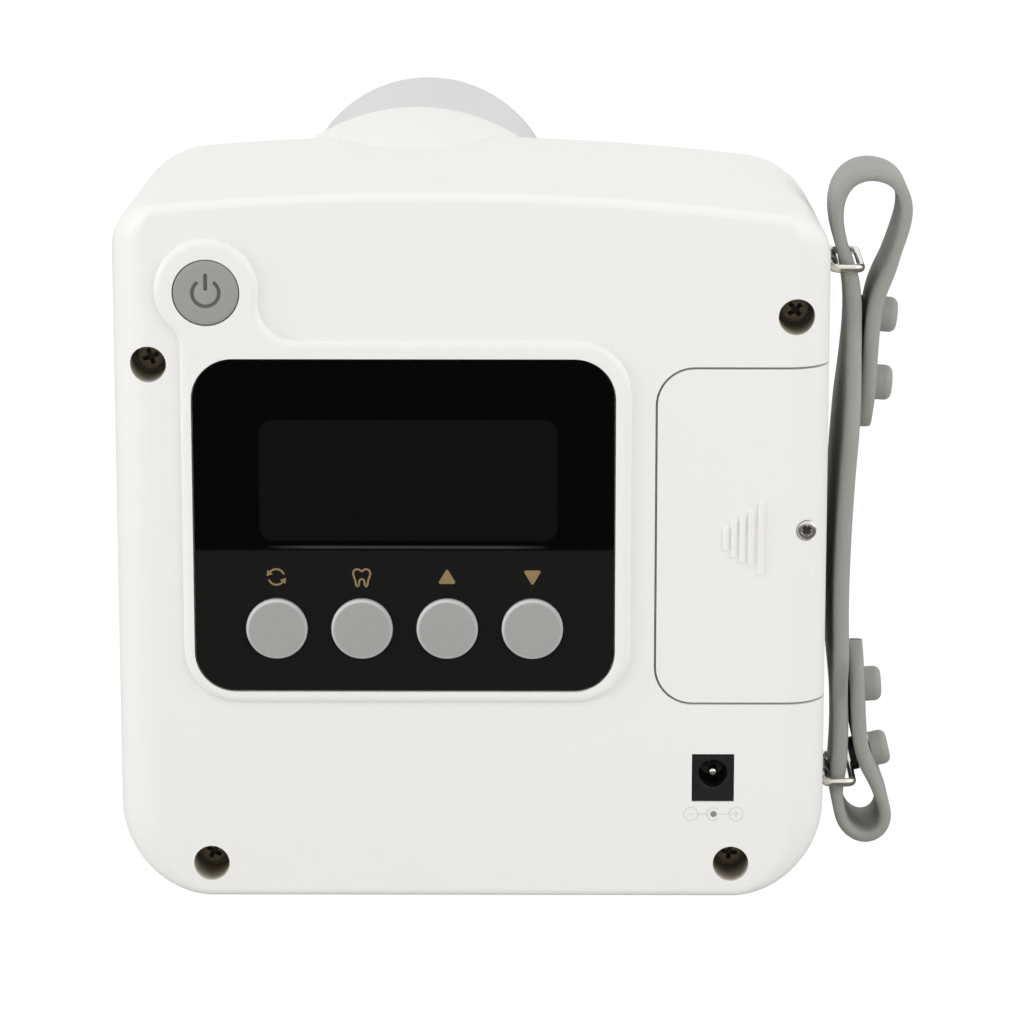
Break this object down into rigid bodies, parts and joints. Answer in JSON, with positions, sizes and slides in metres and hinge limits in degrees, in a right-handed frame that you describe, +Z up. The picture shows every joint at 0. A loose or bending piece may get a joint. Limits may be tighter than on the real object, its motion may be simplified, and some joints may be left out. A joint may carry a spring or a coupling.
{
  "type": "portable x-ray unit",
  "caption": "Hand-held dental x-ray unit: white box body with a display lens and buttons behind, a beam cone in front and a grey hand strap down one side",
  "frame": {"origin": "middle of the flat base that the unit stands on", "axes": "+Z up, +Y along the beam, away from the display, +X towards the hand strap and the battery door"},
  "size_m": [0.1749, 0.2101, 0.1625],
  "materials": {
    "white_shell": "fine satin",
    "black_lens": "high gloss",
    "black_frame": "satin",
    "power_rubber": "matt",
    "button_rubber": "matt",
    "battery_wrap": "satin wrap",
    "black_plastic": "matt",
    "nickel": "polished",
    "cone_plastic": "fine satin",
    "shield_metal": "dull grey",
    "aluminium_sheet": "satin",
    "tube_glass": "clear",
    "copper_like": "bare",
    "steel": "plain",
    "core_iron": "laminated",
    "strap_plastic": "soft matt",
    "board_green": "solder mask",
    "contact_brass": "plain"
  },
  "bodies": {
    "unit": {"rear_housing": "white_shell", "front_housing": "white_shell", "hand_strap": "strap_plastic", "beam_cone": "cone_plastic", "generator_case": "aluminium_sheet", "cone_end_ring": "cone_plastic", "display_lens": "black_lens", "cone_retaining_ring": "cone_plastic", "cone_liner": "shield_metal", "x_ray_tube": "tube_glass", "inverter_coil": "copper_like", "strap_ring_upper": "nickel", "strap_ring_lower": "nickel", "generator_cover": "aluminium_sheet", "power_inlet": "black_plastic", "collimator_plate": "shield_metal", "display_module": "black_frame", "tube_cathode": "steel", "capacitor": "black_plastic", "strap_stud_1": "strap_plastic", "strap_stud_2": "strap_plastic", "strap_stud_3": "strap_plastic", "strap_stud_4": "strap_plastic", "housing_screw_1": "steel", "housing_screw_2": "steel", "housing_screw_3": "steel", "housing_screw_4": "steel", "generator_screw_1": "steel", "generator_screw_2": "steel", "ring_clip_upper": "steel", "ring_clip_lower": "steel", "tube_anode": "copper_like", "display_board": "board_green", "main_board": "board_green", "power_inlet_pin": "nickel", "beam_filter": "aluminium_sheet", "buzzer": "black_plastic", "battery_pack": "battery_wrap", "high_voltage_transformer": "core_iron", "power_board": "board_green", "inlet_board": "board_green", "exposure_board": "board_green", "button_switch_1": "black_plastic", "button_switch_2": "black_plastic", "button_switch_3": "black_plastic", "button_switch_4": "black_plastic", "power_switch": "black_plastic", "exposure_switch": "black_plastic", "battery_tray": "black_plastic", "battery_contact_1": "contact_brass", "battery_contact_2": "contact_brass"},
    "function_button_1_cap": {"function_button_1": "button_rubber"},
    "function_button_2_cap": {"function_button_2": "button_rubber"},
    "function_button_3_cap": {"function_button_3": "button_rubber"},
    "function_button_4_cap": {"function_button_4": "button_rubber"},
    "power_button_cap": {"power_button": "power_rubber"},
    "exposure_button_cap": {"exposure_button": "button_rubber"},
    "door": {"battery_door": "white_shell", "battery_door_screw": "nickel"}
  },
  "joints": [
    {"name": "press_function_button_1", "type": "slide", "parent": "unit", "child": "function_button_1_cap", "axis": [0, 1, 0], "range_m": [0, 0.0007], "stiffness_N_per_m": 1500},
    {"name": "press_function_button_2", "type": "slide", "parent": "unit", "child": "function_button_2_cap", "axis": [0, 1, 0], "range_m": [0, 0.0007], "stiffness_N_per_m": 1500},
    {"name": "press_function_button_3", "type": "slide", "parent": "unit", "child": "function_button_3_cap", "axis": [0, 1, 0], "range_m": [0, 0.0007], "stiffness_N_per_m": 1500},
    {"name": "press_function_button_4", "type": "slide", "parent": "unit", "child": "function_button_4_cap", "axis": [0, 1, 0], "range_m": [0, 0.0007], "stiffness_N_per_m": 1500},
    {"name": "press_power_button", "type": "slide", "parent": "unit", "child": "power_button_cap", "axis": [0, 1, 0], "range_m": [0, 0.0008], "stiffness_N_per_m": 1500},
    {"name": "press_exposure_button", "type": "slide", "parent": "unit", "child": "exposure_button_cap", "axis": [0, -1, 0], "range_m": [0, 0.0015], "stiffness_N_per_m": 1000},
    {"name": "lift_off_battery_door", "type": "slide", "parent": "unit", "child": "door", "axis": [0, -1, 0], "range_m": [0, 0.03]}
  ]
}
